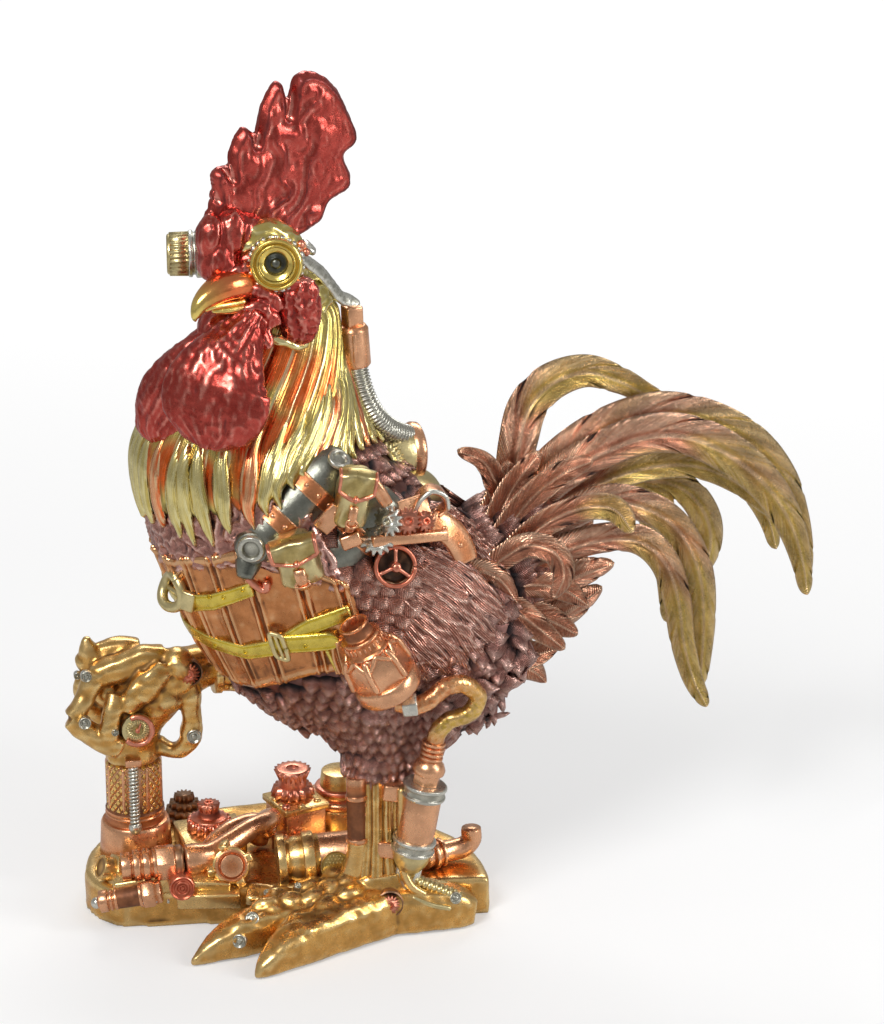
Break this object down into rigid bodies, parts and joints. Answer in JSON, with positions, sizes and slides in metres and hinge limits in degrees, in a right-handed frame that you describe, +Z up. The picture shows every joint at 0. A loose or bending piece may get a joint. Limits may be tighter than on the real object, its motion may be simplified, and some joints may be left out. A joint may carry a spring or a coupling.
{
  "type": "steampunk rooster figurine",
  "caption": "Painted cast figurine of a rooster in goggles, corset and clockwork, one foot raised on a column, standing on a low base of pipes and gears.",
  "frame": {"origin": "middle of the base's underside", "axes": "+Z up; the rooster faces -X; its tail goes out to +X; the side that shows in the picture faces -Y"},
  "size_m": [0.2664, 0.1142, 0.296],
  "materials": {
    "antique_gold": "satin metallic gold paint with dark wash in the hollows",
    "copper_paint": "satin metallic copper paint",
    "plum_bronze": "plum-bronze paint, dry-brushed with pink copper",
    "red_lacquer": "glossy metallic red",
    "silver_paint": "satin silver paint",
    "gunmetal_paint": "dark satin gunmetal paint"
  },
  "bodies": {
    "root": {"rooster_figurine": "antique_gold"}
  },
  "joints": []
}
